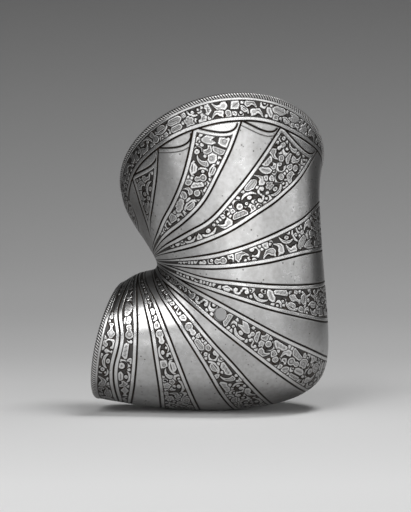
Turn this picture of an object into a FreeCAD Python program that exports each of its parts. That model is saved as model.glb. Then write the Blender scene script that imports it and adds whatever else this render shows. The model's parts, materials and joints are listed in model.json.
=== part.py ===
"""A pasguard: the steel reinforcing plate that was screwed over the outside of a jouster's elbow.

The plate is one raised sheet, bent like half of a pipe elbow. Its upper mouth takes the upper arm, its lower
mouth takes the forearm, and its back is open. Each margin is turned inwards over an iron wire, and one hole
takes the fixing screw. Lengths are in millimetres and angles in degrees. X points to the outer corner of the
elbow, Y from the outer face towards the arm, and Z up.
"""
import FreeCAD
import Part
import math
import os
from collections import namedtuple

# Driving dimensions
PLATE_WIDTH = 181.0
PLATE_HEIGHT = 242.0
FRONT_DEPTH = 62.0
BACK_DEPTH = 56.0
PLATE_THICKNESS = 2.0
TURN_RADIUS = 2.3
TURN_PROUD = 0.35
TURN_RUN_OUT = 4.6
WIRE_RADIUS = 1.1
WIRE_CLEARANCE = 0.1
WIRE_END_GAP = 4.5
HOLE_RADIUS = 4.4
CUT_OVERRUN = 6.0

# The hole's place: its share of the way from mouth to mouth, and its angle round the cross section.
HOLE_ALONG_SHARE = 0.531
HOLE_ANGLE = 103.6

# Where the skins are sampled next to a margin: angles round the turn, from its flat outer edge up to its top,
# and shares of TURN_RUN_OUT, in which the turn's swelling fades into the sheet. The rest has even steps.
TURN_ANGLES = (75.0, 50.0, 25.0, 0.0)
RUN_OUT_SHARES = (0.25, 0.5, 0.75, 1.0, 1.5)
ALONG_COUNT = 25
AROUND_COUNT = 21
MARGIN_COUNT = 31

# The share of the way over which a slope is taken.
SLOPE_SHARE = 1e-4

# The cross sections that the sheet passes through, from the upper mouth round the bend to the lower mouth.
# Each row holds the inner side and the outer side of the section, how far its front leans, and its bulge.
# The x values are shares of PLATE_WIDTH, the z values of PLATE_HEIGHT, lean and bulge of FRONT_DEPTH.
Section = namedtuple("Section", "inner_x inner_z outer_x outer_z lean_x lean_z bulge inner_wrap outer_wrap")
SECTION_SHARES = [
    (-0.150, 0.253, 0.704, 0.337, 0.000, 0.935, 0.970),
    (-0.141, 0.206, 0.685, 0.250, 0.000, 0.730, 0.970),
    (-0.091, 0.128, 0.690, 0.131, 0.000, 0.480, 0.980),
    (-0.021, 0.040, 0.712, -0.072, 0.000, 0.190, 1.000),
    (0.004, 0.006, 0.735, -0.259, 0.000, 0.040, 1.000),
    (0.005, -0.010, 0.708, -0.396, 0.000, 0.000, 0.970),
    (-0.004, -0.020, 0.470, -0.459, 0.000, 0.000, 0.935),
    (-0.027, -0.024, 0.208, -0.468, -0.012, 0.000, 0.870),
    (-0.080, -0.031, -0.030, -0.456, -0.073, 0.000, 0.805),
    (-0.142, -0.062, -0.236, -0.427, -0.152, 0.000, 0.740),
]

# The angles by which the sheet wraps behind the inner and the outer side of each of those sections.
WRAP_ANGLES = [
    (10, 16), (12, 28), (14, 40), (15, 50), (16, 54), (16, 54), (16, 50), (15, 44), (14, 34), (12, 24),
]


def spline_weights(t):
    """The four weights of a uniform cubic spline at t, which runs from 0 to 1 within a span."""
    return (
        (1 - t) ** 3 / 6,
        (3 * t ** 3 - 6 * t ** 2 + 4) / 6,
        (-3 * t ** 3 + 3 * t ** 2 + 3 * t + 1) / 6,
        t ** 3 / 6,
    )


def section_at(along):
    """The cross section at a share of the way from the upper to the lower mouth, in real sizes."""
    rows = [shares + wraps for shares, wraps in zip(SECTION_SHARES, WRAP_ANGLES)]
    before = [2 * a - b for a, b in zip(rows[0], rows[1])]
    after = [2 * a - b for a, b in zip(rows[-1], rows[-2])]
    padded = [before, *rows, after]
    place = along * (len(rows) - 1)
    span = max(0, min(int(place), len(rows) - 2))
    weights = spline_weights(place - span)
    mixed = Section(*(sum(w * padded[span + k][i] for k, w in enumerate(weights)) for i in range(len(rows[0]))))
    return Section(
        mixed.inner_x * PLATE_WIDTH,
        mixed.inner_z * PLATE_HEIGHT,
        mixed.outer_x * PLATE_WIDTH,
        mixed.outer_z * PLATE_HEIGHT,
        mixed.lean_x * FRONT_DEPTH,
        mixed.lean_z * FRONT_DEPTH,
        mixed.bulge * FRONT_DEPTH,
        mixed.inner_wrap,
        mixed.outer_wrap,
    )


def angle_at(section, around):
    """The angle round a section at a share of the way from the inner to the rear margin."""
    return (180 + section.inner_wrap) * (1 - around) - section.outer_wrap * around


def around_at(section, angle):
    """The share of the way from the inner to the rear margin at an angle round a section."""
    return (180 + section.inner_wrap - angle) / (180 + section.inner_wrap + section.outer_wrap)


def sheet_point(along, around):
    """A point of the sheet's outer face, on a half ellipse in front of the section and another behind it."""
    s = section_at(along)
    angle = math.radians(angle_at(s, around))
    across, forward = math.cos(angle), math.sin(angle)
    depth = s.bulge if forward > 0 else BACK_DEPTH
    lean = forward * depth / s.bulge
    return FreeCAD.Vector(
        (s.inner_x + s.outer_x) / 2 + across * (s.outer_x - s.inner_x) / 2 + lean * s.lean_x,
        -depth * forward,
        (s.inner_z + s.outer_z) / 2 + across * (s.outer_z - s.inner_z) / 2 + lean * s.lean_z,
    )


def sheet_slopes(along, around):
    """How the outer face runs there, per share, towards the lower mouth and towards the rear margin."""
    above, below = max(0.0, along - SLOPE_SHARE), min(1.0, along + SLOPE_SHARE)
    inward, outward = max(0.0, around - SLOPE_SHARE), min(1.0, around + SLOPE_SHARE)
    down = (sheet_point(below, around) - sheet_point(above, around)) / (below - above)
    back = (sheet_point(along, outward) - sheet_point(along, inward)) / (outward - inward)
    return down, back


def square_widths(along, around):
    """How wide a whole share is there, square to a mouth and square to the inner and rear margins."""
    down, back = sheet_slopes(along, around)
    area = down.cross(back).Length
    return area / back.Length, area / down.Length


def sheet_normal(along, around):
    """The unit vector that points out of the sheet's outer face."""
    down, back = sheet_slopes(along, around)
    return down.cross(back).normalize()


# A place across the sheet in one direction. side is -1 beside the first margin, 1 beside the last and 0 between
# them, angle is the angle round the turned margin, and share the share of the band or of the rest of the way.
Place = namedtuple("Place", "side angle share")


def places(count):
    """Every place across the sheet in one direction, from the flat outer edge of one turn to the other's."""
    turn = [(math.radians(angle), 0.0) for angle in TURN_ANGLES] + [(0.0, share) for share in RUN_OUT_SHARES]
    first = [Place(-1, angle, share) for angle, share in turn]
    middle = [Place(0, 0.0, k / count) for k in range(1, count)]
    last = [Place(1, angle, share) for angle, share in reversed(turn)]
    return first + middle + last


def nominal_share(place):
    """The share of the whole way across at which a place lies, without the width of the bands."""
    return {-1: 0.0, 0: place.share, 1: 1.0}[place.side]


def true_share(place, first_width, last_width):
    """The share of the whole way across at which a place lies, with run-outs of a real width at both margins."""
    first = TURN_RUN_OUT / first_width
    last = TURN_RUN_OUT / last_width
    if place.side < 0:
        return place.share * first
    if place.side > 0:
        return 1 - place.share * last
    edge = RUN_OUT_SHARES[-1]
    return edge * first + place.share * (1 - edge * (first + last))


def rise(place):
    """How far the turned margin still shows at a place, from 1 on its top to 0 where it has run out."""
    if place.side == 0 or place.share > 1:
        return 0.0
    return (1 + math.cos(math.pi * place.share)) / 2


def skin_point(along_place, around_place, outside):
    """A point of the plate's outer or inner face, with its turned margins."""
    nominal_along, nominal_around = nominal_share(along_place), nominal_share(around_place)
    along = true_share(along_place, *(square_widths(end, nominal_around)[0] for end in (0.0, 1.0)))
    around = true_share(around_place, *(square_widths(nominal_along, end)[1] for end in (0.0, 1.0)))
    down, back = sheet_slopes(along, around)
    normal = down.cross(back).normalize()
    past_mouth = back.cross(normal).normalize() * along_place.side
    past_side = normal.cross(down).normalize() * around_place.side
    x, y = math.sin(along_place.angle), math.sin(around_place.angle)
    sideways = past_mouth * x * math.sqrt(1 - y * y / 2) + past_side * y * math.sqrt(1 - x * x / 2)
    shown = 1 - (1 - rise(along_place)) * (1 - rise(around_place))
    centre = TURN_RADIUS - TURN_PROUD
    if outside:
        height = TURN_PROUD * shown + centre
    else:
        height = centre - PLATE_THICKNESS - (TURN_RADIUS + centre - PLATE_THICKNESS) * shown
    height *= math.cos(along_place.angle) * math.cos(around_place.angle)
    return sheet_point(along, around) + sideways * TURN_RADIUS + normal * (height - centre)


def skin(outside):
    """The plate's outer or inner face, as a smooth surface."""
    rows = [[skin_point(a, b, outside) for b in places(AROUND_COUNT)] for a in places(ALONG_COUNT)]
    surface = Part.BSplineSurface()
    surface.interpolate(rows)
    return surface


def boundary(surface):
    """The four edges of a surface: upper mouth, lower mouth, inner margin and rear margin."""
    u_first, u_last, v_first, v_last = surface.bounds()
    curves = [surface.uIso(u_first), surface.uIso(u_last), surface.vIso(v_first), surface.vIso(v_last)]
    return [curve.toShape() for curve in curves]


def sheet_solid():
    """The sheet with its turned margins: both faces, joined by the flat outer edges of the turns."""
    outer, inner = skin(True), skin(False)
    edges = [Part.makeRuledSurface(a, b, 1) for a, b in zip(boundary(outer), boundary(inner))]
    shell = Part.Compound([outer.toShape(), inner.toShape(), *edges])
    shell.sewShape()
    solid = Part.Solid(shell.Shells[0])
    if solid.Volume < 0:
        solid.reverse()
    return solid


def margin_centre(along, around):
    """The centre of the turned margin at an edge point of the sheet."""
    return sheet_point(along, around) - sheet_normal(along, around) * (TURN_RADIUS - TURN_PROUD)


def margin_curve(name):
    """The line that the middle of the turned margin follows along one edge of the sheet."""
    place_on = {
        "upper": lambda share: (0.0, share),
        "rear": lambda share: (share, 1.0),
        "lower": lambda share: (1.0, share),
        "inner": lambda share: (share, 0.0),
    }[name]
    curve = Part.BSplineCurve()
    curve.interpolate([margin_centre(*place_on(k / MARGIN_COUNT)) for k in range(MARGIN_COUNT + 1)])
    return curve


def bar_along(name, radius, end_gap):
    """A round bar along a margin, which stops at a distance from both of its corners."""
    curve = margin_curve(name)
    first = curve.parameterAtDistance(end_gap, curve.FirstParameter)
    last = curve.parameterAtDistance(curve.length() - end_gap, curve.FirstParameter)
    ring = Part.Wire(Part.makeCircle(radius, curve.value(first), curve.tangent(first)[0]))
    path = Part.Wire(Part.Edge(curve, first, last))
    return path.makePipeShell([ring], True, False)


MARGINS = ("upper", "rear", "lower", "inner")


def hole_place():
    """The point on the outer face where the hole's axis leaves the sheet, and the axis."""
    around = around_at(section_at(HOLE_ALONG_SHARE), HOLE_ANGLE)
    return sheet_point(HOLE_ALONG_SHARE, around), sheet_normal(HOLE_ALONG_SHARE, around)


def hole_drill():
    """The cylinder that cuts the hole for the fixing screw."""
    point, axis = hole_place()
    return Part.makeCylinder(HOLE_RADIUS, PLATE_THICKNESS + 2 * CUT_OVERRUN, point + axis * CUT_OVERRUN, -axis)


def elbow_plate():
    """The plate with the hole for its fixing screw and, inside its turned margins, the channels of the wires."""
    plate = sheet_solid().cut(hole_drill())
    channels = [bar_along(name, WIRE_RADIUS + WIRE_CLEARANCE, WIRE_END_GAP - WIRE_CLEARANCE) for name in MARGINS]
    hollows = [channel.Shells[0].reversed() for channel in channels]
    return Part.makeSolid(Part.Compound([plate.Shells[0], *hollows]))


def parts():
    """Every piece under its name."""
    pieces = {"elbow_plate": elbow_plate()}
    for name in MARGINS:
        pieces[name + "_edge_wire"] = bar_along(name, WIRE_RADIUS, WIRE_END_GAP)
    return pieces


def main():
    """Builds every piece, moves the part so that its origin lies under its middle, and writes the files."""
    os.makedirs("parts", exist_ok=True)
    pieces = parts()
    box = pieces["elbow_plate"].optimalBoundingBox(False)
    shift = FreeCAD.Vector(-box.Center.x, -box.Center.y, -box.ZMin)
    for name, shape in pieces.items():
        shape.translate(shift)
        shape.exportStep(f"parts/{name}.step")
        print(name, "solids", len(shape.Solids), "valid", shape.isValid(), "volume", round(shape.Volume))
    point, axis = hole_place()
    print("hole", [round(v, 3) for v in point + shift], [round(v, 5) for v in axis])
    print("box", [round(v, 2) for v in (box.XLength, box.YLength, box.ZLength)])


if __name__ == "__main__":
    main()
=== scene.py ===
"""The looks of a pasguard: one raised steel elbow plate with a fan of etched bands.

The sheet is a surface of two shares: u runs from the upper mouth round the bend to the lower mouth, and b runs
round the arm from the inner margin to the rear margin. Every band, plain field and border is a cell between two
lines on it. Lengths are in millimetres until a mesh is made, which is in metres.
"""
import json
from functools import cached_property

import bpy
import numpy as np
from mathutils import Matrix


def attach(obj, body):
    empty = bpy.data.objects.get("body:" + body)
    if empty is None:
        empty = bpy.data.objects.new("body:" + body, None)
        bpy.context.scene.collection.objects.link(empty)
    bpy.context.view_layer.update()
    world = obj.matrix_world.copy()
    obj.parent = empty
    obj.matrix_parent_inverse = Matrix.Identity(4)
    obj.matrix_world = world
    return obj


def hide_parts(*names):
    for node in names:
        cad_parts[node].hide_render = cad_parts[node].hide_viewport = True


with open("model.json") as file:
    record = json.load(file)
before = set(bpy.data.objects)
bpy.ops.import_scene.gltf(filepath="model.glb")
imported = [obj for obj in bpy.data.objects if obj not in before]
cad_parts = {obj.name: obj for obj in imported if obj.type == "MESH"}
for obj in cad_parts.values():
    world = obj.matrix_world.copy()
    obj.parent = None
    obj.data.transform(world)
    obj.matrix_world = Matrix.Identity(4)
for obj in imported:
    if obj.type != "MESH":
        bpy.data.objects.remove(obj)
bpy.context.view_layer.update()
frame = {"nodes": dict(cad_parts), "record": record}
scene = bpy.context.scene
PLATE = "elbow_plate"
MM = 0.001

# The sheet. Each row holds the inner and outer side of a cross section, its lean, its bulge and its two wraps.
WIDTH, HEIGHT, FRONT, BACK = 181.0, 242.0, 62.0, 56.0
THICKNESS, TURN_RADIUS, TURN_PROUD = 2.0, 2.3, 0.35
HOLE_RADIUS, HOLE_ALONG, HOLE_ANGLE = 4.4, 0.531, 103.6
SECTIONS = np.array([
    (-0.150, 0.253, 0.704, 0.337, 0.000, 0.935, 0.970, 10, 16),
    (-0.141, 0.206, 0.685, 0.250, 0.000, 0.730, 0.970, 12, 28),
    (-0.091, 0.128, 0.690, 0.131, 0.000, 0.480, 0.980, 14, 40),
    (-0.021, 0.040, 0.712, -0.072, 0.000, 0.190, 1.000, 15, 50),
    (0.004, 0.006, 0.735, -0.259, 0.000, 0.040, 1.000, 16, 54),
    (0.005, -0.010, 0.708, -0.396, 0.000, 0.000, 0.970, 16, 54),
    (-0.004, -0.020, 0.470, -0.459, 0.000, 0.000, 0.935, 16, 50),
    (-0.027, -0.024, 0.208, -0.468, -0.012, 0.000, 0.870, 15, 44),
    (-0.080, -0.031, -0.030, -0.456, -0.073, 0.000, 0.805, 14, 34),
    (-0.142, -0.062, -0.236, -0.427, -0.152, 0.000, 0.740, 12, 24),
])
ROWS = SECTIONS * np.array([WIDTH, HEIGHT, WIDTH, HEIGHT, FRONT, FRONT, FRONT, 1, 1])
PADDED = np.vstack([2 * ROWS[0] - ROWS[1], ROWS, 2 * ROWS[-1] - ROWS[-2]])


def section(u):
    """The cross section at share u: a uniform cubic spline through the rows."""
    place = np.clip(u, 0, 1) * (len(ROWS) - 1)
    span = np.clip(place.astype(int), 0, len(ROWS) - 2)
    t = (place - span)[..., None]
    weights = ((1 - t) ** 3 / 6, (3 * t ** 3 - 6 * t ** 2 + 4) / 6,
               (-3 * t ** 3 + 3 * t ** 2 + 3 * t + 1) / 6, t ** 3 / 6)
    return sum(w * PADDED[span + k] for k, w in enumerate(weights))


def sheet(u, b):
    """The sheet's outer face at (u, b): half an ellipse in front of the section and another behind it."""
    u, b = np.broadcast_arrays(np.asarray(u, float), np.asarray(b, float))
    ix, iz, ox, oz, lx, lz, bulge, inner, outer = np.moveaxis(section(u), -1, 0)
    angle = np.radians((180 + inner) * (1 - b) - outer * b)
    c, f = np.cos(angle), np.sin(angle)
    depth = np.where(f > 0, bulge, BACK)
    lean = f * depth / bulge
    return np.stack([(ix + ox) / 2 + c * (ox - ix) / 2 + lean * lx, -depth * f,
                     (iz + oz) / 2 + c * (oz - iz) / 2 + lean * lz], -1)


def unit(v):
    """Vectors of length one."""
    return v / np.maximum(np.linalg.norm(v, axis=-1, keepdims=True), 1e-12)


def slopes(u, b):
    """How the face runs towards the lower mouth and towards the rear margin, per share."""
    step = 1e-4
    u0, u1 = np.clip(u - step, 0, 1), np.clip(u + step, 0, 1)
    b0, b1 = np.clip(b - step, 0, 1), np.clip(b + step, 0, 1)
    down = (sheet(u1, b) - sheet(u0, b)) / (u1 - u0)[..., None]
    back = (sheet(u, b1) - sheet(u, b0)) / (b1 - b0)[..., None]
    return down, back


def outward(u, b):
    """The unit vector out of the sheet's outer face."""
    down, back = slopes(u, b)
    return unit(np.cross(down, back))


def around(u, angle):
    """The share b of an angle round the cross section at u."""
    s = section(np.asarray(u, float))
    return (180 + s[..., 7] - angle) / (180 + s[..., 7] + s[..., 8])


HOLE_SHARE = around(HOLE_ALONG, HOLE_ANGLE)
HOLE_POINT = sheet(HOLE_ALONG, HOLE_SHARE)
HOLE_AXIS = outward(np.array(HOLE_ALONG), np.array(HOLE_SHARE))
MOUNT = next(m for m in frame["record"]["mounts"] if m["name"] == "fixing_hole")
SHIFT = np.array(MOUNT["pos_m"]) / MM - (HOLE_POINT - HOLE_AXIS * THICKNESS / 2)

# The lines between cells, as places (share u, angle in degrees), with the share u where each meets the inner
# margin and, if it gets there, the rear margin. Counted from 0, a band lies between an even line and the next.
BORDER_LINE = (0.24, 0.028, [
    (0.208, 169.5), (0.166, 169.7), (0.128, 160.1), (0.107, 149.3), (0.095, 135.9), (0.086, 123.4),
    (0.08, 112.1), (0.076, 101), (0.072, 90.9), (0.069, 79), (0.067, 71), (0.067, 60), (0.07, 47.9),
    (0.066, 30.6), (0.042, 7.5)])
LINES = [
    (0.4, None, [(0.332, 164), (0.285, 159), (0.243, 157), (0.205, 156), (0.168, 155), (0.128, 155)]),
    (0.42, None, [(0.322, 165.2), (0.264, 151.8), (0.221, 141.4), (0.167, 132.4), (0.109, 127.8)]),
    (0.43, None, [(0.327, 160), (0.298, 149.3), (0.27, 140), (0.238, 128.3), (0.189, 116.1), (0.144, 109.7),
                  (0.094, 105.7)]),
    (0.44, None, [(0.346, 157.3), (0.321, 146.5), (0.303, 136.4), (0.281, 123), (0.246, 106.7),
                  (0.196, 94.1), (0.14, 84.3), (0.083, 78.7)]),
    (0.45, None, [(0.361, 157.6), (0.336, 145.6), (0.315, 132.5), (0.297, 120.2), (0.279, 107.6),
                  (0.237, 90.2), (0.188, 75), (0.138, 64.1), (0.084, 55.7)]),
    (0.455, None, [(0.385, 159.8), (0.328, 116.1), (0.297, 93.7), (0.268, 76.2), (0.235, 57.8),
                   (0.18, 37.7), (0.085, 20.2)]),
    (0.462, 0.1, [(0.409, 157.8), (0.362, 125.1), (0.333, 101.2), (0.303, 78.4), (0.274, 57.7),
                  (0.244, 38.3), (0.183, 10.4)]),
    (0.468, 0.23, [(0.443, 159.4), (0.41, 136.5), (0.379, 109.8), (0.353, 88), (0.331, 68.1), (0.309, 47.3),
                   (0.274, 5.4)]),
    (0.475, 0.3, [(0.426, 140.9), (0.413, 116.9), (0.391, 95.1), (0.374, 73.5), (0.357, 49.5), (0.326, 2.4)]),
    (0.482, 0.385, [(0.482, 138.8), (0.456, 115.9), (0.44, 96.5), (0.428, 74.6), (0.416, 50.5), (0.4, 0)]),
    (0.49, 0.472, [(0.484, 145.6), (0.484, 128), (0.479, 107.5), (0.478, 88.1), (0.478, 65.9),
                   (0.475, 38.6), (0.477, 0)]),
    (0.51, 0.57, [(0.65, 159.7), (0.608, 134.6), (0.596, 115.2), (0.591, 95.1), (0.586, 71.7),
                  (0.584, 44.2), (0.582, 0.2)]),
    (0.56, 0.65, [(0.649, 139.7), (0.645, 115.4), (0.65, 94.1), (0.649, 74.5), (0.652, 53.5), (0.653, 12.1)]),
    (0.68, 0.722, [(0.751, 142.5), (0.735, 117.9), (0.729, 98.5), (0.726, 75.6), (0.729, 50.1), (0.725, 11.2)]),
    (0.79, 0.795, [(0.812, 156), (0.785, 129.8), (0.781, 108.3), (0.782, 84.3), (0.785, 56.8), (0.787, 20.7)]),
    (0.845, 0.868, [(0.864, 156.6), (0.846, 132.7), (0.839, 107.8), (0.844, 83.8), (0.851, 55.7),
                    (0.863, 14.6)]),
    (0.87, 0.935, [(0.873, 134.9), (0.878, 109), (0.889, 84), (0.905, 54), (0.925, 15.2)]),
    (0.9, 0.965, [(0.928, 158.4), (0.951, 124.8), (0.936, 100.3), (0.951, 70.3), (0.95, 22.9)]),
]
BANDS = len(LINES) // 2
SAMPLES = 900


def gaps(points):
    """The distances between neighbours in a run of points."""
    return np.linalg.norm(np.diff(points, axis=0), axis=1)


def walked(points):
    """How far along its run each point lies."""
    return np.r_[0, np.cumsum(gaps(points))]


def smooth_line(places):
    """A line through places (u, b): a cubic through them in the length along the chords, whose slope at each
    place is that of the parabola through it and its neighbours, resampled at even distances."""
    places = np.asarray(places, float)
    length = walked(sheet(*places.T))
    h = np.diff(length)[:, None]
    chord = np.diff(places, axis=0) / h
    inner = (h[1:] * chord[:-1] + h[:-1] * chord[1:]) / (h[1:] + h[:-1])
    slope = np.vstack([2 * chord[0] - inner[0], inner, 2 * chord[-1] - inner[-1]])
    at = np.linspace(0, length[-1], 4000)
    k = np.clip(np.searchsorted(length, at) - 1, 0, len(h) - 1)
    t = ((at - length[k]) / h[k, 0])[:, None]
    fine = ((2 * t ** 3 - 3 * t ** 2 + 1) * places[k] + (t ** 3 - 2 * t ** 2 + t) * h[k] * slope[k]
            + (3 * t ** 2 - 2 * t ** 3) * places[k + 1] + (t ** 3 - t ** 2) * h[k] * slope[k + 1])
    fine = np.clip(fine, 0, 1)
    true = walked(sheet(*fine.T))
    even = np.linspace(0, true[-1], SAMPLES)
    return np.stack([np.interp(even, true, fine[:, c]) for c in (0, 1)], -1)


def along(line, share):
    """The places (u, b) at shares of a line's length."""
    at = np.linspace(0, 1, len(line))
    return np.stack([np.interp(share, at, line[:, c]) for c in (0, 1)], -1)


def marked_line(inner_share, rear_share, marks):
    """The smooth line from the inner margin through marks (u, angle), to the rear margin if it gets there."""
    places = [(inner_share, 0.0)] + [(u, float(around(u, angle))) for u, angle in marks]
    if rear_share is not None:
        places.append((rear_share, 1.0))
    return smooth_line(places)


border_line = marked_line(*BORDER_LINE)


def on_border(place):
    """The share of the border line's length at its point nearest a place (u, b)."""
    gap = np.linalg.norm(sheet(*border_line.T) - sheet(*place), axis=1)
    return gap.argmin() / (SAMPLES - 1)


# The lines, and the share of the border line's length at which each ends, or None.
lines, ends = [], []
for inner_share, rear_share, marks in LINES:
    line = marked_line(inner_share, rear_share, marks)
    end = None
    if rear_share is None:
        end = on_border(line[-1])
        fit = along(border_line, end) - line[-1]
        line = line + fit * np.linspace(0, 1, SAMPLES)[:, None] ** 3
    lines.append(line)
    ends.append(end)


def ease(x):
    """A smooth step from 0 at 0 to 1 at 1."""
    x = np.clip(x, 0, 1)
    return x * x * (3 - 2 * x)


# A fine column's width, and the share of a cell's length from which its end is carried to the far edge.
ZONE_STEP, LIFT_FROM = 0.28, 0.45


class Cell:
    """The field between two lines: rows run along them and columns across. Place = the two lines' places at an
    equal share of their lengths, blended by the column's share, and carried near the end to the far edge. The
    zone is the width on either side in which columns are finer, for the etched lines there."""

    def __init__(self, first, last, far, steps, zone=None):
        length = [gaps(sheet(*line.T)).sum() for line in (first, last)]
        rows = int(max(length) / steps[0]) + 2
        s = np.linspace(0, 1, rows)
        a, c = along(first, s), along(last, s)
        width = np.linalg.norm(sheet(*a.T) - sheet(*c.T), axis=1)
        if zone is None:
            columns = int(width.max() / steps[1]) + 2
            t = np.broadcast_to(np.linspace(0, 1, columns), (rows, columns))
        else:
            side = np.linspace(0, 1, int(zone / ZONE_STEP) + 1)
            zone = np.minimum(zone / np.maximum(width, 1e-6), 0.42)[:, None]
            middle = np.linspace(0, 1, max(6, int(width.max() / steps[1])) + 1)[1:-1]
            t = np.hstack([side * zone, zone + middle * (1 - 2 * zone), 1 - (side * zone)[:, ::-1]])
        edge = t[-1]
        straight_end = (1 - edge)[:, None] * a[-1] + edge[:, None] * c[-1]
        lift = far(edge) - straight_end if far else np.zeros_like(straight_end)
        places = (1 - t)[..., None] * a[:, None] + t[..., None] * c[:, None]
        places = places + lift[None] * ease((s - LIFT_FROM) / (1 - LIFT_FROM))[:, None, None]
        u, b = np.moveaxis(np.clip(places, 0, 1), -1, 0)
        self.t, self.base, self.normal = t, sheet(u, b), outward(u, b)
        middle = self.base.shape[1] // 2
        spine = self.base[:, middle]
        run = unit(np.gradient(spine, axis=0))
        across = unit(np.cross(run, self.normal[:, middle]))
        away = self.base - spine[:, None]
        self.p = walked(spine)[:, None] + (away * run[:, None]).sum(-1)
        self.q = (away * across[:, None]).sum(-1)
        self.to_first, self.to_last = self.off(self.base[:, :1]), self.off(self.base[:, -1:])
        self.breadth = np.maximum(self.to_first[:, -1], 1e-3)

    def off(self, rail):
        """How far each point is from a side, square to the side's own run there."""
        run = unit(np.gradient(rail, axis=0))
        away = self.base - rail
        return np.linalg.norm(away - (away * run).sum(-1, keepdims=True) * run, axis=-1)

    def from_end(self):
        """Each point's distance along the far edge, how far it lies below that edge, and the edge's length."""
        rail = self.base[-1:]
        run = unit(np.gradient(rail, axis=1))
        away = self.base - rail
        step = (away * run).sum(-1)
        walk = walked(rail[0])
        return walk + step, np.linalg.norm(away - step[..., None] * run, axis=-1), walk[-1]


# Beside a field: half the dark line's width, how far the bright fillet reaches, and where ornaments may start.
DARK, FILLET, SECOND = 0.86, 2.85, 3.3
# How deep the lines, the ground and the strokes in the motifs are cut.
CUT_DEPTH, GROUND_DEPTH, STROKE_DEPTH = 0.30, 0.22, 0.07
CLEAR = 99.0  # a distance beyond every line


def cut_line(distance, half=DARK, depth=CUT_DEPTH):
    """Height and ink of a dark V-shaped line: deepest in the middle and level at its half width."""
    share = np.clip(distance / half, 0, 2)
    return -depth * np.clip(1 - share, 0, 1), 1 - ease((share - 0.65) / 0.5)


def joined(cut, other):
    """Height and ink of two cuts together: the deeper and the darker at each point."""
    return np.minimum(cut[0], other[0]), np.maximum(cut[1], other[1])


# Ornaments. Each takes x, along its length, and y in half widths, and gives the outline's distance, negative
# inside, and the distance to the strokes engraved in it. The long ones reach 1.7 half widths from the middle.
NONE = 9.0  # a distance beyond every outline and stroke


def disc(x, y):
    """A round boss with a dot: the distance to a circle."""
    far = np.hypot(x, y)
    return far - 0.95, far - 0.08


def ring(x, y):
    """A boss with a notch: a circle with a smaller one taken out of its side."""
    far = np.hypot(x, y)
    return np.maximum(far - 1.0, 0.36 - np.hypot(x - 1.0, y)), np.abs(np.hypot(x - 0.15, y) - 0.3)


def crescent(x, y):
    """A crescent round a bud: a circle with another taken out of it, and a small one in the hollow."""
    horn = np.maximum(np.hypot(x, y) - 1.08, 0.68 - np.hypot(x - 0.5, y))
    return np.minimum(horn, np.hypot(x - 0.56, y) - 0.36), NONE + 0 * x


def moon(x, y):
    """A thick crescent with short cuts across it."""
    far, turn = np.hypot(x, y), np.arctan2(y, -x)
    cuts = np.where(np.abs(turn) < 1.7, far * np.abs(np.sin(3 * turn)) / 3, 1.0)
    return np.maximum(far - 1.08, 0.56 - np.hypot(x - 0.8, y)), cuts


def spiral(x, y):
    """A coiled boss: a circle with a line that winds in by half a radius each turn."""
    far = np.hypot(x, y)
    wind = np.mod(far - 0.5 * np.arctan2(y, x) / (2 * np.pi) + 0.25, 0.5) - 0.25
    return far - 1.0, np.where(far < 0.96, np.abs(wind), 1.0)


def shield(x, y):
    """A shield with a pale along it: a flat top, and sides that meet below."""
    side = np.abs(y)
    return np.maximum(np.maximum(x - 0.85, side - 0.8), side * 0.8 - x * 0.6 - 0.82), np.abs(side - 0.25)


def dome(x, y):
    """A high cap on a bar: half a circle and a flat bar, with an arch cut inside."""
    far = np.hypot(x, y + 0.45)
    bar = np.maximum(np.abs(x) - 1.2, np.abs(y + 0.7) - 0.2)
    return np.minimum(np.maximum(far - 1.05, -y - 0.4), bar), np.abs(far - 0.55)


def hook(x, y):
    """A C-scroll with a round head: part of a ring, and a circle at its end."""
    band = np.maximum(np.abs(np.hypot(x, y) - 0.8) - 0.27, x * 0.9 - np.abs(y) - 0.1)
    return np.minimum(band, np.hypot(x - 0.35, y - 0.55) - 0.42), NONE + 0 * x


def curl(x, y):
    """A curled bud: a round head with a tail that bends over it."""
    head = np.hypot(x + 0.25, y + 0.2)
    tail = np.maximum(np.abs(np.hypot(x, y) - 0.92) - 0.2, -0.5 * x - y)
    return np.minimum(head - 0.52, tail), head - 0.05


def shell(x, y):
    """A fan of ribs: a sector of a circle, scalloped along its edge."""
    far, turn = np.hypot(x + 0.85, y), np.arctan2(y, x + 0.85)
    edge = far - 1.75 - 0.09 * np.cos(9 * turn)
    ribs = np.where(far > 0.5, far * np.abs(np.sin(4.5 * turn)) / 4.5, 1.0)
    return np.maximum(edge, far * (np.abs(turn) - 0.74)), ribs


def acanthus(x, y):
    """A lobed leaf: a circle whose radius swells five times, with veins from its middle."""
    far, turn = np.hypot(x, y), np.arctan2(y, x)
    veins = np.where(far > 0.25, far * np.abs(np.sin(2.5 * turn)) / 2.5, 1.0)
    return (far - 0.88 - 0.26 * np.cos(5 * turn)) * 0.82, veins


def trefoil(x, y):
    """Three round leaves on one stalk."""
    each = [np.hypot(x - 0.58 * np.cos(a), y - 0.58 * np.sin(a)) for a in np.pi * 2 / 3 * np.arange(3)]
    near = np.minimum.reduce(each)
    return near - 0.54, near - 0.02


def leaf(x, y):
    """A pointed leaf with its midrib: where two large circles overlap."""
    midrib = np.where(np.abs(x) < 1.0, np.abs(y + 0.12 * x), 1.0)
    return np.maximum(np.hypot(x, y - 1.14), np.hypot(x, y + 1.14)) - 2.09, midrib


def toothed_leaf(x, y):
    """A pointed leaf with a lobed edge and slanting veins."""
    veins = np.abs(np.sin(3.5 * (x - 0.7 * np.abs(y)))) / 3.5 + 0.03
    return leaf(x, y)[0] + 0.12 * np.cos(7 * x), veins


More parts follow.
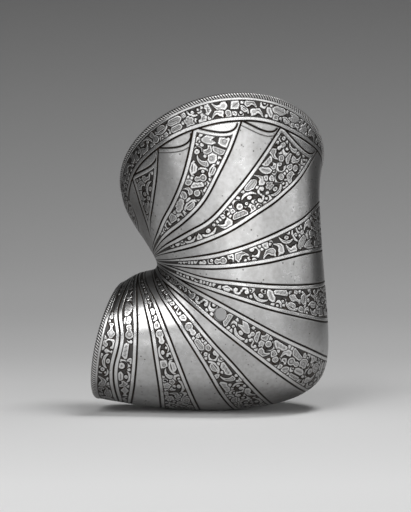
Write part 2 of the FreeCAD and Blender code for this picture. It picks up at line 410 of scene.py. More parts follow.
def wing(x, y):
    """Half a leaf with feathers: the part of a leaf above its midrib."""
    return np.maximum(leaf(x, y * 0.8)[0], -y - 0.4), np.abs(np.sin(3.6 * (x + 0.6 * y))) / 3.6


def hat(x, y):
    """A domed cap over an upturned brim: half a circle, and an arc below it."""
    brim = np.maximum(np.abs(np.hypot(x, y - 1.35) - 2.0) - 0.22, y - 0.35)
    return np.minimum(brim, np.maximum(np.hypot(x * 0.85, y + 0.1) - 0.95, -y - 0.2)), NONE + 0 * x


def crest(x, y):
    """A wide crescent over a bud."""
    horn = np.maximum(np.hypot(x, y + 1.05) - 1.95, 2.45 - np.hypot(x, y + 2.2))
    rays = np.where(y > 0.0, np.abs(np.sin(3.4 * x)) / 3.4, 1.0)
    return np.minimum(horn, np.hypot(x * 0.8, y + 0.35) - 0.42), rays


def comma(x, y):
    """A long petal with a curled tip: a round head, and a tail that bends and grows thin."""
    line = 0.55 * (x + 0.2) ** 2 - 0.5
    tail = np.maximum(np.abs(y - line) - 0.62 + 0.3 * x, np.abs(x - 0.1) - 1.5)
    stem = np.where(x > -0.3, np.abs(y - line), 1.0)
    return np.minimum(tail, np.hypot(x + 0.85, y + 0.15) - 0.8) * 0.85, stem


def scroll(x, y):
    """An S-scroll with round ends: half a ring above, half a ring below, and two discs."""
    side = np.sign(x) + (x == 0)
    arc = np.where(-side * y > 0, np.abs(np.hypot(np.abs(x) - 0.7, y) - 0.7),
                   np.minimum(np.hypot(np.abs(x) - 1.4, y), np.hypot(x, y)))
    return np.minimum(arc - 0.24, np.hypot(np.abs(x) - 1.12, y) - 0.42), NONE + 0 * x


def bud(x, y):
    """A long bud in its sheath: two circles and a neck, with a cut along it."""
    near = np.minimum(np.hypot(x - 0.55, y) - 0.85, np.hypot(x + 0.95, y) - 0.6)
    return np.minimum(near, np.maximum(np.abs(y) - 0.45, np.abs(x) - 1.0)), np.abs(np.hypot(x - 0.55, y) - 0.42)


def vase(x, y):
    """A turned vase: a bar whose half width swells at its belly and its lip."""
    girth = 0.24 + 0.6 * np.exp(-((x + 0.55) / 0.6) ** 2) + 0.3 * np.exp(-((x - 1.35) / 0.3) ** 2)
    rings = np.minimum(np.abs(x - 0.2), np.abs(x + 1.2))
    return np.maximum((np.abs(y) - girth) * 0.85, np.abs(x) - 1.6), rings


def horn(x, y):
    """A curved horn: an arc that widens to its mouth, with bands across it."""
    far, turn = np.hypot(x, y + 1.5), np.arctan2(x, y + 1.5)
    return (np.maximum(np.abs(far - 1.75) - 0.36 - 0.3 * turn, 1.75 * (np.abs(turn) - 1.0)),
            1.75 * np.abs(np.sin(4 * turn)) / 4)


def twin_leaf(x, y):
    """Two leaves that part from one stem."""
    first = leaf(x * 0.95 + y * 0.3, (y * 0.95 - x * 0.3 - 0.38) * 1.7)
    second = leaf(x * 0.95 - y * 0.3, (y * 0.95 + x * 0.3 + 0.38) * 1.7)
    return np.minimum(first[0], second[0]), np.minimum(first[1], second[1]) + 0.08


# The ornaments to choose from: one that is named twice comes twice as often, and small places get plainer ones.
ROUND = [crescent, curl, moon, spiral, hook, crescent, shell, acanthus, dome, curl, crescent, ring, moon,
         shield]
SMALL = [leaf, shell, disc, dome, trefoil, moon]
LONG = [hat, leaf, scroll, wing, crest, horn, bud, toothed_leaf, comma, hat, twin_leaf, comma, vase, crest,
        wing, comma]
SMALL_HALF, LINED_HALF = 1.8, 2.6
# Half width, half length past it, and the share of the free places that this size gets, from the largest down.
SIZES = [(3.1, 3.0, 0.5), (4.0, 0.0, 0.5), (2.7, 2.6, 0.6), (3.3, 0.0, 0.7), (2.2, 2.1, 0.8), (2.6, 0.0, 1.0),
         (1.7, 1.5, 1.0), (2.0, 0.0, 1.0), (1.2, 1.0, 1.0), (1.35, 0.0, 1.0)]
TRIED_PLACES, MOST_ORNAMENTS, MOST_MISSES = 7000, 4000, 30
TURNS = np.arange(10) * np.pi / 10
# Half the gap between two ornaments, and the gap to the field's edge.
HALF_GAP, EDGE_GAP = 0.32, 0.4
# How dark the ground and an ornament's inner field are, and how bright the painted highlight on ornaments and
# fillets is.
GROUND_INK, FIELD_INK, ORNAMENT_HIGHLIGHT, FILLET_HIGHLIGHT = 0.87, 0.32, 0.26, 0.2

rng = np.random.default_rng(31)


def capsule(p, q, spot):
    """Distance to a spot's round-ended bar, and the places along and across it."""
    cx, cy, angle, half, more = spot
    c, s = np.cos(angle), np.sin(angle)
    x, y = (p - cx) * c + (q - cy) * s, (q - cy) * c - (p - cx) * s
    return np.hypot(np.maximum(np.abs(x) - more, 0), y) - half, x, y


def thrown(p, q, room):
    """Where ornaments lie: one size after another is set down, close to what is there, until none fits."""
    pick = rng.permutation(len(p))[:TRIED_PLACES]
    p, q, room = p[pick], q[pick], room[pick].copy()
    found = []

    def roomy(x, y):
        away = np.hypot(p - x, q - y)
        near = away.argmin()
        return room[near] - away[near]

    for half, more, share in SIZES:
        free = np.flatnonzero(room >= half * 0.9)
        fewest, misses = (1 - share) * len(free), 0
        while len(free) > fewest and misses < MOST_MISSES and len(found) < MOST_ORNAMENTS:
            close = free[np.argsort(room[free])[: max(1, len(free) // 5)]]
            k = close[rng.integers(len(close))]
            fits = [a for a in TURNS if not more or half * 0.8 < min(
                roomy(p[k] + more * np.cos(a) * end, q[k] + more * np.sin(a) * end) for end in (-1, 1))]
            if fits:
                angle = fits[rng.integers(len(fits))] + (rng.random() < 0.5) * np.pi
                found.append((p[k], q[k], angle if more else rng.uniform(0, 2 * np.pi), half, more))
                room = np.minimum(room, capsule(p, q, found[-1])[0])
                free = np.flatnonzero(room >= half * 0.9)
                misses = 0
            misses += 1
    return found


def ornament(p, q, room):
    """Height and ink of an etched field. Each ornament fills the part of the field that is nearest to it. It
    has a painted highlight on its rim, a fine line inside the rim, its strokes, and a dark line round it on the
    etched ground."""
    shape = p.shape
    p, q, room = p.ravel(), q.ravel(), room.ravel()
    inside = np.flatnonzero(room > 0)
    height, ink = np.zeros((2, len(p)))
    if not len(inside):
        return height.reshape(shape), ink.reshape(shape)
    x, y, edge = p[inside], q[inside], room[inside]
    found = thrown(x, y, edge)
    best, second, off, stroke = np.full((4, len(x)), NONE)
    owner, lined = np.full(len(x), -1), np.zeros(len(x))
    near = []
    for k, spot in enumerate(found):
        reach = (spot[3] + spot[4]) * 1.4 + 1.0
        hit = np.flatnonzero((np.abs(x - spot[0]) < reach) & (np.abs(y - spot[1]) < reach))
        near.append(hit)
        gap = capsule(x[hit], y[hit], spot)[0]
        win = gap < best[hit]
        second[hit] = np.where(win, best[hit], np.minimum(second[hit], gap))
        best[hit] = np.where(win, gap, best[hit])
        owner[hit[win]] = k
    for k, spot in enumerate(found):
        hit = near[k][owner[near[k]] == k]
        half, more = spot[3] * 1.2, spot[4]
        flip = rng.choice((-1, 1))
        kinds = LONG if more else ROUND if half > SMALL_HALF else SMALL
        kind = kinds[rng.integers(len(kinds))]
        _, along_it, across_it = capsule(x[hit], y[hit], spot)
        outline, inner = kind(along_it / half, across_it * flip / half)
        off[hit], stroke[hit] = outline * half, inner * half if half > SMALL_HALF else NONE
        lined[hit] = half > LINED_HALF and rng.random() < 0.5
    off = np.maximum(off, HALF_GAP - np.minimum((second - best) / 2, 3.0))
    off = np.maximum(off, EDGE_GAP - edge)
    body = ease((0.1 - off) / 0.3)
    contour = ease(1.6 - np.abs(off - 0.5) / 0.42)
    fine = ease(1.1 - np.abs(off + 1.1) / 0.38) * lined
    strokes = ease(1.1 - stroke / 0.42) * ease((-0.7 - off) / 0.3)
    field = ease((-1.0 - off) / 0.4)
    ground = np.maximum(GROUND_INK, contour)
    top = np.maximum(np.maximum(0.8 * fine, 0.9 * strokes), FIELD_INK * field)
    # Painted highlight: ink below zero brightens the ornament's body, most of all its rim.
    ink[inside] = ground * (1 - body) + (top - ORNAMENT_HIGHLIGHT * (1 - top)) * body
    height[inside] = -GROUND_DEPTH * (1 - body) - STROKE_DEPTH * np.maximum(fine, strokes) * body
    return height.reshape(shape), ink.reshape(shape)


def grid_faces(rows, columns, keep=None, turned=False):
    """The four corners of each square of a grid, in the order that faces outwards."""
    i = np.arange(rows * columns).reshape(rows, columns)
    quads = np.stack([i[:-1, :-1], i[:-1, 1:], i[1:, 1:], i[1:, :-1]], -1).reshape(-1, 4)
    if turned:
        quads = quads[:, ::-1]
    return quads if keep is None else quads[keep[quads].all(axis=1)]


def painted_shade(x, z):
    """How much painted shade darkens the outer steel, from 0 to 0.8: patches that fade in smooth steps over x
    and z, in millimetres from the waist. They lie along the inner side of the bend, in the waist crease, and at
    the foot."""
    above = 0.66 * ease((6 - x) / 16) * ease(z / 12) * (1 - 0.9 * ease((z - 40) / 35))
    below = 0.22 * ease((-28 - x) / 15) * ease(-z / 12)
    foot = 0.32 * ease((-68 - z) / 32) + 0.3 * ease((x + z * -0.8 - 150) / 45)
    waist = 0.4 * np.exp(-(x ** 2 + (z - 4) ** 2) / 250)
    return np.minimum(above + below + waist + foot, 0.8)


def placed(name, data):
    """A new object, linked into the scene."""
    new = bpy.data.objects.new(name, data)
    scene.collection.objects.link(new)
    return new


def add_piece(name, points, faces, ink, finish):
    """Puts a surface into a mesh in metres, with how dark each point is etched, plus painted shade on the outer
    steel, and adds it to the plate.
    """
    used, faces = np.unique(faces, return_inverse=True)
    faces = faces.reshape(-1, 4)
    points, ink = points.reshape(-1, 3)[used], ink.ravel()[used]
    # Painted shade: the outer steel is darkened along the inner side of the bend, in the waist crease and at
    # the foot.
    if finish is outer_steel:
        shade_share = painted_shade(points[:, 0], points[:, 2])
        ink = ink * (1 - shade_share) + shade_share
    mesh = bpy.data.meshes.new(name)
    mesh.vertices.add(len(points))
    mesh.vertices.foreach_set("co", ((points + SHIFT) * MM).astype(np.float32).ravel())
    mesh.loops.add(faces.size)
    mesh.loops.foreach_set("vertex_index", faces.astype(np.int32).ravel())
    mesh.polygons.add(len(faces))
    mesh.polygons.foreach_set("loop_start", np.arange(0, faces.size, 4, dtype=np.int32))
    mesh.attributes.new("ink", "FLOAT", "POINT").data.foreach_set("value", ink.astype(np.float32))
    mesh.update(calc_edges=True)
    mesh.shade_smooth()
    mesh.materials.append(finish)
    piece = placed(name, mesh)
    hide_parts(PLATE)
    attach(piece, "root")


class Flow:
    """A value among a finish's nodes. The operators add Math nodes."""

    def __init__(self, finish, socket):
        self.finish, self.socket = finish, socket

    def math(self, operation, *values):
        return self.finish.node("ShaderNodeMath", {"operation": operation}, dict(enumerate(values)))

    def __add__(self, other):
        return self.math("ADD", self, other)

    def __sub__(self, other):
        return self.math("SUBTRACT", self, other)

    def __rsub__(self, other):
        return self.math("SUBTRACT", other, self)

    def __mul__(self, other):
        return self.math("MULTIPLY", self, other)

    __radd__, __rmul__ = __add__, __mul__

    def step(self, low, high):
        """A smooth step from 0 at low to 1 at high."""
        sockets = {"Value": self, "From Min": low, "From Max": high, "To Min": 0.0, "To Max": 1.0}
        return self.finish.node("ShaderNodeMapRange", {"interpolation_type": "SMOOTHSTEP"}, sockets)


class Finish:
    """The nodes of a material, or of the room, in the making."""

    def __init__(self, owner, shader="Principled BSDF"):
        owner.use_nodes = True
        self.owner, self.tree = owner, owner.node_tree
        self.shader = self.tree.nodes[shader]

    @cached_property
    def place(self):
        """Object coordinates, in metres."""
        return self.node("ShaderNodeTexCoord", {}, {}, "Object")

    def node(self, kind, settings, inputs, output=0):
        """Adds a node: its settings first, then the values or links of its sockets."""
        node = self.tree.nodes.new(kind)
        for key, value in settings.items():
            if key == "stops":
                ramp = node.color_ramp
                while len(ramp.elements) < len(value):
                    ramp.elements.new(0.5)
                for element, (position, level) in zip(ramp.elements, value):
                    element.position, element.color = position, grey(level)
            else:
                setattr(node, key, value)
        self.feed(node, inputs)
        return Flow(self, node.outputs[output])

    def feed(self, node, inputs):
        """Links or sets sockets of a node, by name or number."""
        for key, value in inputs.items():
            if isinstance(value, Flow):
                self.tree.links.new(value.socket, node.inputs[key])
            else:
                node.inputs[key].default_value = value

    def noise(self, scale, detail=3.0, rough=0.5):
        """Noise with so many features to a metre."""
        sockets = {"Vector": self.place, "Scale": scale, "Detail": detail, "Roughness": rough}
        return self.node("ShaderNodeTexNoise", {}, sockets)

    def mix(self, share, first, last):
        """One colour fading into another."""
        return self.node("ShaderNodeMix", {"data_type": "RGBA"}, {"Factor": share, 6: first, 7: last}, 2)

    def bump(self, height, distance, strength, under=None):
        """Relief from a height, on top of the relief under it."""
        inputs = {"Height": height, "Distance": distance, "Strength": strength}
        if under:
            inputs["Normal"] = under
        return self.node("ShaderNodeBump", {}, inputs)

    def set(self, **sockets):
        """Feeds the shader, and gives the finished material or room."""
        self.feed(self.shader, {key.replace("_", " "): value for key, value in sockets.items()})
        return self.owner


def grey(level):
    """The colour that has this level in all three."""
    return level, level, level, 1


PIT_COLOUR = (0.07, 0.066, 0.062, 1)
HAMMER_RELIEF, GRAIN_RELIEF = 0.004, 0.0002


def steel(name, bright, dark, roughness, hammer, specks):
    """Satin steel: a slow mottling, fine scratches and scattered dark pits. It is etched dark and slightly
    brown as ink goes to 1, and brightened by a painted highlight as it goes to -1/3."""
    f = Finish(bpy.data.materials.new(name))
    # On the outer steel the ink also carries painted shade.
    ink = f.node("ShaderNodeAttribute", {"attribute_name": "ink"}, {}, "Fac")
    slow, quick, grain = f.noise(22.0, 3.0), f.noise(260.0, 5.0, 0.65), f.noise(1500.0, 2.0)
    cells = f.node("ShaderNodeTexVoronoi", {}, {"Vector": f.place, "Scale": 300.0}, "Distance")
    pits = (1 - cells.step(0.08, 0.24)) * f.noise(80.0, 2.0).step(0.47, 0.62) * specks
    tarnish = slow.step(0.35, 0.7) * 0.35 + quick.step(0.35, 0.7) * 0.65
    plain = f.mix(tarnish, grey(bright * 1.08), (bright * 0.84, bright * 0.83, bright * 0.82, 1))
    pitted = f.mix(pits * 0.85, plain, PIT_COLOUR)
    # Painted highlight: where ink is below zero, the base colour is brightened.
    highlighted = f.mix(ink * -3, pitted, grey(min(bright * 1.6, 0.95)))
    black, brown = (dark * 1.2, dark, dark * 0.85, 1), (dark * 3.4, dark * 2, dark * 1.1, 1)
    etched = f.mix(quick.step(0.4, 0.8), black, brown)
    rough = (slow - 0.5) * 0.05 + (quick - 0.5) * 0.12 + pits * 0.2 + ink * 0.22 + roughness
    hammered = f.bump(slow, HAMMER_RELIEF, hammer)
    grained = f.bump(quick * 0.6 + grain * 0.25 - pits * 1.2, GRAIN_RELIEF, 0.35, hammered)
    return f.set(Base_Color=f.mix(ink, highlighted, etched), Metallic=1.0, Roughness=rough, Normal=grained)


outer_steel = steel("satin_steel", 0.52, 0.010, 0.29, 0.04, 1.0)
# The roped edges get a brighter copy of the steel: painted light for the light their ridges catch.
lit_rope_steel = steel("roped_steel_lit", 0.64, 0.010, 0.40, 0.05, 0.5)
inner_steel = steel("rough_steel", 0.24, 0.03, 0.52, 0.35, 0.6)

HOLE_BAND, HOLE_ZONE = 6, 12.0  # the band with the hole, and how near the hole's middle a point of it is


def hole_cut(points):
    """Leaves out the points inside the hole, and carries those beside it onto its edge. Gives the points, which
    of them stay, and how far each is from the edge."""
    away = points - HOLE_POINT
    height = (away * HOLE_AXIS).sum(-1, keepdims=True)
    flat = away - height * HOLE_AXIS
    far = np.linalg.norm(flat, axis=-1)
    near = np.abs(height[..., 0]) < HOLE_ZONE
    inside = (far < HOLE_RADIUS) & near
    beside = np.zeros_like(inside)
    for across in (-1, 0, 1):
        for down in (-1, 0, 1):
            beside |= np.roll(inside, (across, down), (0, 1))
    snapped = HOLE_POINT + height * HOLE_AXIS + flat / np.maximum(far, 1e-9)[..., None] * HOLE_RADIUS
    points = np.where((beside & ~inside)[..., None], snapped, points)
    return points, ~inside.ravel(), np.where(near, far - HOLE_RADIUS, CLEAR)


def border_end(first, last):
    """The far edge on the border line, between two shares of its length."""
    return lambda t: along(border_line, first + (last - first) * t)


# The plain field at the rear corner, and the share of its far edge that lies on the border line.
CORNER_FIELD, CORNER = 3, 0.35


def corner_end(first, last_u):
    """The far edge of the corner field: along the border line to its end, then down the rear margin."""

    def far(t):
        top = along(border_line, first + (1 - first) * np.clip(t / CORNER, 0, 1))
        side = border_line[-1, 0] + (last_u - border_line[-1, 0]) * np.clip((t - CORNER) / (1 - CORNER), 0, 1)
        return np.where((t < CORNER)[:, None], top, np.stack([side, np.ones_like(t)], -1))

    return far


def swag_lines(cell, deep, side=None):
    """The hanging loop under the border line: it grows deeper from the left, is deepest near the right end, and
    closes steeply. On a plain field a thin line follows it. On a band it fades out where the distance from the
    sides is small. Gives height, ink, and the room that is left outside it."""
    w, below, width = cell.from_end()
    v = np.linspace(0, 1, 160)
    drop = v * (1 - v) ** 0.42
    hang = deep * drop / drop.max()
    start, stop = (0.6, width - 2.2) if side is None else (4.3, width - 3.2)
    line = np.stack([start + (stop - start) * v, hang], -1)
    close = below < deep + 6
    spot = np.stack([w[close], below[close]], -1)
    gap = np.linalg.norm(spot[:, None] - line[None], axis=-1).min(1)
    within = (spot[:, 1] < np.interp(spot[:, 0], *line.T)) & (spot[:, 0] > start) & (spot[:, 0] < stop)
    far = np.full(w.shape, CLEAR)
    far[close] = np.where(within, -gap, gap)
    height, ink = cut_line(np.abs(far))
    if side is None:
        thin_height, thin_ink = cut_line(np.abs(far - 3.5), 0.42, 0.14)
        height, ink = joined((height, ink), (thin_height, thin_ink * 0.85))
    else:
        fade = ease((side - 1.2) / 0.5)
        height, ink = height * fade, ink * fade
    return height, ink, np.minimum(far - FILLET, below - 0.9)


def narrowing(cell):
    """How far the etched lines are drawn in where a band is narrow."""
    return np.clip(cell.breadth / 11.0, 0.1, 1.0)


def side_lines(cell, narrow_first=None, narrow_last=None):
    """Height and ink of the dark lines along the sides of a cell that have one."""
    cut = np.zeros((2, *cell.t.shape))
    for distance, narrow in ((cell.to_first, narrow_first), (cell.to_last, narrow_last)):
        if narrow is not None:
            k = np.clip(narrow, 0.3, 1)[:, None]
            cut = joined(cut, cut_line(distance / k, DARK, CUT_DEPTH * k))
    return cut


def etched_field(cell, cut, room, ground_from):
    """Height and ink of a cell with its ornaments: the ground is sunk and dark from the fillet's edge on, and
    the fillet gets a painted highlight."""
    height, ink = cut
    h, i = ornament(cell.p, cell.q, room)
    sunk = ease(ground_from / 0.25)
    etched = room > 0
    height = np.minimum(height, np.where(etched, h, -GROUND_DEPTH * sunk))
    over = np.where(ink > 0.1, np.maximum(ink, i), i)
    ink = np.where(etched & (sunk > 0.5), over, np.maximum(ink, 0.95 * sunk))
    # Painted highlight: the fillet's ink is pushed below zero to brighten it.
    return height, ink - FILLET_HIGHLIGHT * (1 - sunk) * (1 - ink)


def stretched(values, rows):
    """Values along a line, read at another number of rows."""
    return np.interp(np.linspace(0, 1, rows), np.linspace(0, 1, len(values)), values)


def finish_cell(name, cell, height, ink, hole=False):
    """Raises a cell's points off the sheet and adds the piece."""
    points = cell.base + cell.normal * height[..., None]
    keep = None
    if hole:
        points, keep, _ = hole_cut(points)
    add_piece(name, points, grid_faces(*cell.t.shape, keep), ink, outer_steel)


# How far apart a cell's points are, along and across it, and the width of a plain field's finer zone.
BAND_STEPS, BORDER_STEPS = (0.37, 0.325), (0.4, 0.335)
FIELD_STEPS, SWAG_STEPS, FIELD_ZONE = (0.7, 1.6), (0.42, 0.42), 2.6
# How deep the swags hang in the bands and the plain fields that have one.
BAND_SWAGS, FIELD_SWAGS = {1: 6.6, 2: 7.6, 3: 6.8}, {1: 8.0, 2: 6.2}
narrows = []

for n in range(1, BANDS + 1):
    first, last = lines[2 * n - 2], lines[2 * n - 1]
    far = border_end(ends[2 * n - 2], ends[2 * n - 1]) if n in BAND_SWAGS else None
    cell = Cell(first, last, far, BAND_STEPS)
    narrow = narrowing(cell)
    narrows.append(narrow)
    cut = side_lines(cell, narrow, narrow)
    side = np.minimum(cell.to_first, cell.to_last) / narrow[:, None]
    room, ground_from = (side - SECOND) * narrow[:, None], (side - FILLET) * narrow[:, None]
    if far:
        cut = joined(cut, cut_line(cell.from_end()[1]))
        *swag, outside = swag_lines(cell, BAND_SWAGS[n], side)
        cut = joined(cut, swag)
        room = np.minimum(room, outside - (SECOND - FILLET))
        ground_from = np.minimum(ground_from, outside)
    if n == HOLE_BAND:
        clear = hole_cut(cell.base)[2]
        room = np.minimum(room, clear - 0.5)
    height, ink = etched_field(cell, cut, room, ground_from)
    if n == HOLE_BAND:
        rim = (clear < 0.5) & (clear > -1)
        height, ink = np.where(rim, -0.05, height), np.where(rim, 0.15, ink)
    finish_cell(f"band_{n}", cell, height, ink, hole=n == HOLE_BAND)

for n in range(BANDS):
    last, far = lines[2 * n], None
    if n == 0:
        first, narrow = border_line[: int(ends[0] * (SAMPLES - 1)) + 1], np.ones(SAMPLES)
    else:
        first, narrow = lines[2 * n - 1], narrows[n - 1]
    if n == CORNER_FIELD:
        far = corner_end(ends[2 * n - 1], last[-1, 0])
    elif n in FIELD_SWAGS:
        far = border_end(ends[2 * n - 1], ends[2 * n])
    cell = Cell(first, last, far, SWAG_STEPS if n in FIELD_SWAGS else FIELD_STEPS, FIELD_ZONE)
    rows = len(cell.t)
    cut = side_lines(cell, stretched(narrow, rows), stretched(narrows[n], rows))
    if far:
        below = cell.from_end()[1]
        if n == CORNER_FIELD:
            below = np.where(cell.t[-1] < CORNER, below, CLEAR)
        cut = joined(cut, cut_line(below))
    if n in FIELD_SWAGS:
        cut = joined(cut, swag_lines(cell, FIELD_SWAGS[n])[:2])
    finish_cell(f"plain_field_{n}", cell, *cut)

for name, first, last in (
    ("upper_border", np.stack([np.zeros(SAMPLES), border_line[:, 1]], -1), border_line),
    ("lower_border", lines[-1], np.stack([np.ones(SAMPLES), lines[-1][:, 1]], -1)),
):
    cell = Cell(first, last, None, BORDER_STEPS)
    rows = len(cell.t)
    if name == "upper_border":
        narrow, to_rim, to_line = np.ones(rows), cell.to_first, cell.to_last
        cut = side_lines(cell, None, narrow)
    else:
        narrow, to_rim, to_line = stretched(narrows[-1], rows), cell.to_last, cell.to_first
        cut = side_lines(cell, narrow)
    inner = to_line / narrow[:, None]
    room = np.minimum((inner - SECOND) * narrow[:, None], to_rim - SECOND)
    ground_from = np.minimum((inner - FILLET) * narrow[:, None], to_rim - FILLET)
    # The sheet dips under the roped edge, with a dark line beside it.
    dip = -0.7 * (1 - ease((to_rim - 0.9) / 0.6)), 0.8 * ease(1 - np.abs(to_rim - 1.25) / 0.4)
    finish_cell(name, cell, *etched_field(cell, joined(cut, dip), room, ground_from))

# The inside of the plate.
u, b = np.meshgrid(np.linspace(0, 1, 150), np.linspace(0, 1, 170), indexing="ij")
inside, keep, _ = hole_cut((sheet(u, b) - outward(u, b) * THICKNESS).transpose(1, 0, 2))
inside_faces = grid_faces(*inside.shape[:2], keep, turned=True)
add_piece("inner_skin", inside, inside_faces, np.zeros(inside.shape[:2]), inner_steel)

ROPE_PITCH, ROPE_WIND, ROPE_DEPTH = 2.1, 0.65, 0.34


def turned_margin(name, path_u, path_b, side, rope):
    """A turned margin: a round bar along the edge, r = radius less the rope's grooves, which wind round it,
    with half a ball at each end. Angle 0 points out of the sheet, and a quarter turn points past the edge."""
    step, columns, finish = (0.3, 40, lit_rope_steel) if rope else (0.8, 28, outer_steel)
    walk = walked(sheet(path_u, path_b))
    rows = int(walk[-1] / step) + 2
    at = np.linspace(0, walk[-1], rows)
    u, b = np.interp(at, walk, path_u), np.interp(at, walk, path_b)
    normal = outward(u, b)
    centre = sheet(u, b) - normal * (TURN_RADIUS - TURN_PROUD)
    run = unit(np.gradient(centre, axis=0))
    past = np.cross(run, normal) * side
    caps = np.radians(np.linspace(90, 0, 9)[:-1])
    rise = np.sin(caps)[:, None]
    centre = np.vstack([centre[0] - run[0] * TURN_RADIUS * rise, centre,
                        centre[-1] + run[-1] * TURN_RADIUS * rise[::-1]])
    shrink = np.r_[np.cos(caps), np.ones(rows), np.cos(caps)[::-1]][:, None]
    row = np.clip(np.arange(-len(caps), rows + len(caps)), 0, rows - 1)
    normal, past, at = normal[row][:, None], past[row][:, None], at[row][:, None]
    phi = np.linspace(-np.pi, np.pi, columns + 1)[None]
    wave = np.cos(2 * np.pi * (at / ROPE_PITCH + ROPE_WIND * phi))
    face = ease((np.cos(phi) + 0.55) / 0.5) * rope
    radius = (TURN_RADIUS - ROPE_DEPTH * ease((wave + 0.45) / 1.2) * face) * shrink
    # Painted shade: the rope's grooves are darkened.
    ink = ease((wave + 0.45) / 0.8) * face * (shrink > 0.99)
    out = np.cos(phi)[..., None] * normal + np.sin(phi)[..., None] * past
    points = centre[:, None] + radius[..., None] * out
    points[:, -1] = points[:, 0]
    add_piece(name, points, grid_faces(*points.shape[:2], turned=side < 0), ink, finish)


edge = np.linspace(0, 1, 400)
zero, one = np.zeros(400), np.ones(400)
turned_margin("upper_roped_edge", zero, edge, -1, True)
turned_margin("lower_roped_edge", one, edge, 1, True)
turned_margin("inner_edge", edge, zero, 1, False)
turned_margin("rear_edge", edge, one, -1, False)

# The wall of the hole, from the outer face to the inner one: points on the hole's circle, each brought in a few
# rounds to the sheet's height there.
ROUND_HOLE, DEEP = 73, 8
turn = np.linspace(0, 2 * np.pi, ROUND_HOLE)
side_x = unit(np.cross(HOLE_AXIS, [0, 0, 1]))
side_y = np.cross(HOLE_AXIS, side_x)
circle = HOLE_RADIUS * (np.cos(turn)[:, None] * side_x + np.sin(turn)[:, None] * side_y)
u, b = np.full(ROUND_HOLE, HOLE_ALONG), np.full(ROUND_HOLE, HOLE_SHARE)
for _ in range(12):
    miss = HOLE_POINT + circle - sheet(u, b)
    down, back = slopes(u, b)
    miss = miss - (miss * HOLE_AXIS).sum(-1, keepdims=True) * HOLE_AXIS
    u = u + (miss * down).sum(-1) / (down * down).sum(-1) * 0.8
    b = b + (miss * back).sum(-1) / (back * back).sum(-1) * 0.8
level = ((sheet(u, b) - HOLE_POINT) * HOLE_AXIS).sum(-1)
depths = np.linspace(0.05, -THICKNESS - 0.1, DEEP)
wall = HOLE_POINT + circle[:, None] + (level[:, None] + depths[None])[..., None] * HOLE_AXIS
add_piece("hole_wall", wall, grid_faces(ROUND_HOLE, DEEP), np.full((ROUND_HOLE, DEEP), 0.35), inner_steel)

# The iron wires inside the turned margins keep their own solids.
iron = Finish(bpy.data.materials.new("drawn_iron"))
rust = iron.noise(400.0, 4.0)
rusty = rust.step(0.4, 0.65)
iron_finish = iron.set(Base_Color=iron.mix(rusty, (0.16, 0.15, 0.145, 1), (0.11, 0.07, 0.05, 1)),
                       Metallic=1 - rusty * 0.7, Roughness=rust * 0.3 + 0.4)
for node in ("upper", "lower", "inner", "rear"):
    wire = frame["nodes"][node + "_edge_wire"]
    wire.data.materials.clear()
    wire.data.materials.append(iron_finish)

# The sweep: a paper floor that rises behind into a backdrop. Its grey is painted shade for the fall of the
# light: paler in front and darker at the sides, up the backdrop and at the front end.
FRONT_END, FLOOR, BEND, WALL, HALF_WIDTH = -2700.0, 3400.0, 900.0, 2200.0, 3200.0
SWEEP_ROWS, SWEEP_COLUMNS = 240, 60
# Shares of the sweep's length, from its front end to its top, and the painted grey of the paper there, which
# stands in for the fall of the light.
GREYS = [(0.0, 0.35), (0.17, 0.35), (0.26, 0.5), (0.3, 0.68), (0.33, 0.75), (0.41, 0.71), (0.44, 0.645),
         (0.485, 0.64), (0.505, 0.575), (0.52, 0.505), (0.535, 0.445), (0.55, 0.386), (0.565, 0.325),
         (0.58, 0.26), (0.59, 0.218), (0.7, 0.155), (1.0, 0.11)]
SIDE_SHADE_GREY = 0.11
reach = np.linspace(0, 1, SWEEP_ROWS)
arc = BEND * np.pi / 2
walk = reach * (FLOOR + arc + WALL)
theta = np.clip((walk - FLOOR) / BEND, 0, np.pi / 2)
sweep_y = FRONT_END + np.minimum(walk, FLOOR) + BEND * np.sin(theta)
sweep_z = BEND * (1 - np.cos(theta)) + np.maximum(walk - FLOOR - arc, 0)
sweep_x = np.linspace(-HALF_WIDTH, HALF_WIDTH, SWEEP_COLUMNS)
sweep = np.stack(np.broadcast_arrays(sweep_x[None], sweep_y[:, None], sweep_z[:, None]), -1)
stage_mesh = bpy.data.meshes.new("sweep")
stage_faces = grid_faces(SWEEP_ROWS, SWEEP_COLUMNS, turned=True)
stage_mesh.from_pydata((sweep.reshape(-1, 3) * MM).tolist(), [], stage_faces.tolist())
stage_mesh.attributes.new("reach", "FLOAT", "POINT").data.foreach_set(
    "value", np.repeat(reach, SWEEP_COLUMNS).astype(np.float32))
stage_mesh.shade_smooth()
paper = Finish(bpy.data.materials.new("paper_sweep"))
share = paper.node("ShaderNodeAttribute", {"attribute_name": "reach"}, {}, "Fac")
painted_falloff = paper.node("ShaderNodeValToRGB", {"stops": GREYS}, {"Fac": share})
x, y = (paper.node("ShaderNodeSeparateXYZ", {}, {"Vector": paper.place}, axis) for axis in "XY")
# Painted shade: the paper darkens towards the sides.
to_left = (y.step(-0.1, 0.4) * 0.3 - x).step(0.5, 0.85)
to_right = x.step(0.32, 0.75)
paper.set(Base_Color=paper.mix(to_left + to_right, painted_falloff, grey(SIDE_SHADE_GREY)), Roughness=0.9,
          Specular_IOR_Level=0.1)
# The paper is clear from behind, so that the plate can be seen from there too.
clear = paper.node("ShaderNodeBsdfTransparent", {}, {})
behind = paper.node("ShaderNodeNewGeometry", {}, {}, "Backfacing")
in_front = Flow(paper, paper.shader.outputs[0])
one_sided = paper.node("ShaderNodeMixShader", {}, {0: behind, 1: clear, 2: in_front})
paper.feed(paper.tree.nodes["Material Output"], {"Surface": one_sided})
stage_mesh.materials.append(paper.owner)
placed("sweep", stage_mesh)

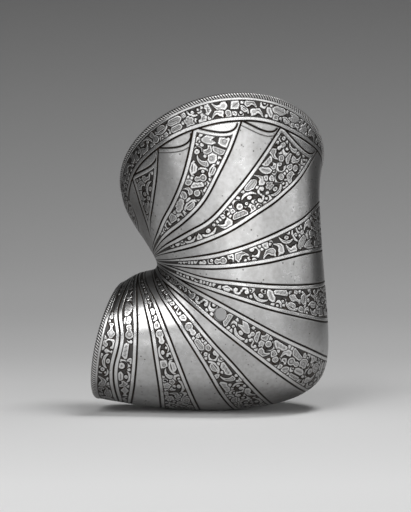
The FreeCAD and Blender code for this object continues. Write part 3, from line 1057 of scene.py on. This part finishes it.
# Each row holds a lamp's name, azimuth, elevation and power.
LAMPS = [("front_right", 20, 9, 3.3), ("right", 60, 9, 1.75), ("far_right", 80, 9, 1.9),
         ("rim_right", 102, 9, 1.1), ("left", -20, 28, 4.9), ("high_left", -20, 48, 6.5),
         ("overhead", 60, 72, 18.0), ("side_left", -43, 37, 3.2), ("far_left", -66, 34, 1.3),
         ("rim_left", -90, 27, 0.6)]
LOW_LAMPS = [("low_far_left", -40, -1, 0.36), ("low_left", -20, -1, 0.32), ("low_front", 0, -1, 0.58),
             ("low_right", 40, -1, 0.39)]
LAMP_AIM = np.array([0, 0, 0.12])
LAMP_POWER = 1.17


def softbox(name, azimuth, elevation, power, distance, width, height):
    """A soft lamp that faces the middle of the plate and isn't seen by the camera. Azimuth 0 is the camera's
    side, and 90 is to its right."""
    a, e = np.radians(azimuth), np.radians(elevation)
    away = np.array([np.sin(a) * np.cos(e), -np.cos(a) * np.cos(e), np.sin(e)])
    lamp = bpy.data.lights.new(name, "AREA")
    lamp.shape, lamp.size, lamp.size_y, lamp.energy = "RECTANGLE", width, height, power * LAMP_POWER
    holder = placed(name, lamp)
    holder.visible_camera = False
    holder.location = tuple(LAMP_AIM + away * distance)
    right = unit(np.cross([0, 0, 1], away))
    axes = np.stack([right, np.cross(away, right), away], 1)
    holder.rotation_euler = Matrix(axes.tolist()).to_euler()


for row in LAMPS:
    softbox(*row, 2.0, 0.66, 0.62)
for row in LOW_LAMPS:
    softbox(*row, 1.0, 0.36, 0.30)

# The room is dark grey where the camera or a reflection sees it, and gives no other light.
room = Finish(bpy.data.worlds.new("room"), "Background")
seen = 0.0
for ray in ("Is Camera Ray", "Is Glossy Ray", "Is Transmission Ray"):
    ray = room.node("ShaderNodeLightPath", {}, {}, ray)
    seen = ray.math("MAXIMUM", ray, seen)
scene.world = room.set(Color=grey(0.03), Strength=seen)

# The camera looks down a little from in front, at a point so far across, up, and ahead of the plate's middle. A
# pixel of the picture is so wide there.
CAMERA_FAR, VIEW_RISE, SENSOR = 3000.0, np.radians(5.0), 36.0
ACROSS, UP, AHEAD = 37.75, 5.285, 25.0
IMAGE_WIDTH, PIXEL = 411, 0.755
TARGET = SHIFT + [ACROSS, -AHEAD, (UP + AHEAD * np.sin(VIEW_RISE)) / np.cos(VIEW_RISE)]
EYE = TARGET + CAMERA_FAR * np.array([0.0, -np.cos(VIEW_RISE), np.sin(VIEW_RISE)])

view = bpy.data.cameras.new("camera")
view.sensor_fit = "HORIZONTAL"
view.sensor_width = SENSOR
view.lens = SENSOR * CAMERA_FAR / (IMAGE_WIDTH * PIXEL)
view.clip_start, view.clip_end = 0.1, 50.0
camera = placed("camera", view)
camera.location = tuple(EYE * MM)
camera.rotation_euler = (np.pi / 2 - VIEW_RISE, 0.0, 0.0)
scene.camera = camera
scene.view_settings.view_transform = "Standard"

bpy.context.view_layer.update()
